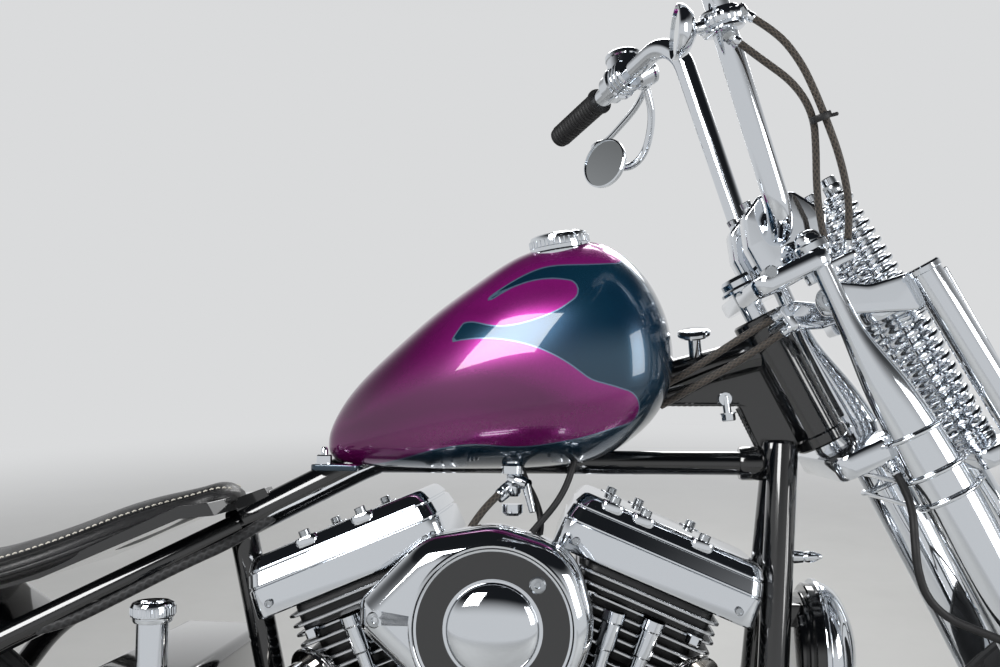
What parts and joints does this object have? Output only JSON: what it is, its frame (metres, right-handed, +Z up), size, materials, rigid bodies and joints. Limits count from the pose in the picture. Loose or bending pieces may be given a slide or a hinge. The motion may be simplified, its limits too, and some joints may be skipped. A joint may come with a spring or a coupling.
{
  "type": "chopper motorcycle with springer fork",
  "caption": "Rigid chopper motorcycle with a springer fork, tall handlebars, a teardrop tank and an air-cooled V-twin, leaning on its side stand.",
  "frame": {"origin": "on the ground, at the middle of the bounding box's foot", "axes": "+X forward along the machine, +Y to its left, +Z up; it leans 9 degrees to its left"},
  "size_m": [2.2479, 0.8066, 1.352],
  "materials": {
    "black_paint": "gloss black",
    "chrome": "mirror",
    "steel": "satin",
    "tank_paint": "metallic blue and violet under clear coat",
    "leather": "satin",
    "aluminium": "cast",
    "rubber": "matte",
    "tyre": "matte",
    "lamp": "gloss red"
  },
  "bodies": {
    "frame": {"frame_neck": "black_paint", "frame_backbone": "black_paint", "frame_top_tube": "black_paint", "frame_downtubes": "black_paint", "frame_rail_left": "black_paint", "frame_rail_right": "black_paint", "frame_cross_members": "black_paint", "frame_seat_post": "black_paint", "frame_rear_rails": "black_paint", "axle_plates": "black_paint", "rear_axle": "steel", "fuel_tank": "tank_paint", "fuel_cap": "chrome", "petcock": "chrome", "seat_cushion": "leather", "seat_pan": "black_paint", "oil_tank": "black_paint", "crankcase": "aluminium", "cylinder_front": "aluminium", "cylinder_rear": "aluminium", "rocker_box_front": "chrome", "rocker_box_rear": "chrome", "cam_cover": "chrome", "pushrod_tubes": "chrome", "carburettor": "aluminium", "air_cleaner": "chrome", "exhaust_front": "chrome", "exhaust_rear": "chrome", "primary_cover": "chrome", "transmission": "aluminium", "drive_chain": "steel", "rear_fender": "black_paint", "tail_lamp": "lamp", "foot_controls_right": "chrome", "foot_controls_left": "chrome", "horn": "chrome", "rear_caliper": "aluminium", "stand_bracket": "black_paint"},
    "steering": {"fork_trees": "chrome", "handlebar": "chrome", "rigid_legs": "chrome", "spring_legs": "chrome", "fork_springs": "chrome", "fork_rockers": "chrome", "front_axle": "steel", "hand_grips": "rubber", "hand_controls": "chrome", "headlamp": "chrome", "front_caliper": "aluminium"},
    "front_wheel": {"front_tyre": "tyre", "front_wheel": "chrome", "front_disc": "steel"},
    "rear_wheel": {"rear_tyre": "tyre", "rear_wheel": "chrome", "rear_disc": "steel", "rear_sprocket": "steel"},
    "side_stand": {"side_stand": "chrome"}
  },
  "joints": [
    {"name": "steering_turn", "type": "hinge", "parent": "frame", "child": "steering", "pos_m": [0.3547, -0.0399, 0.88222], "axis": [-0.454, 0.1394, 0.88], "range_deg": [-30, 30]},
    {"name": "front_wheel_spin", "type": "hinge", "parent": "steering", "child": "front_wheel", "pos_m": [0.779, -0.12553, 0.34155], "axis": [0, 0.9877, -0.1564], "continuous": true},
    {"name": "rear_wheel_spin", "type": "hinge", "parent": "frame", "child": "rear_wheel", "pos_m": [-0.725, -0.12866, 0.3218], "axis": [0, 0.9877, -0.1564], "continuous": true},
    {"name": "side_stand_fold", "type": "hinge", "parent": "frame", "child": "side_stand", "pos_m": [0.075, -0.01048, 0.12185], "axis": [0.1121, 0.5907, 0.7991], "range_deg": [0, 107.1]}
  ]
}
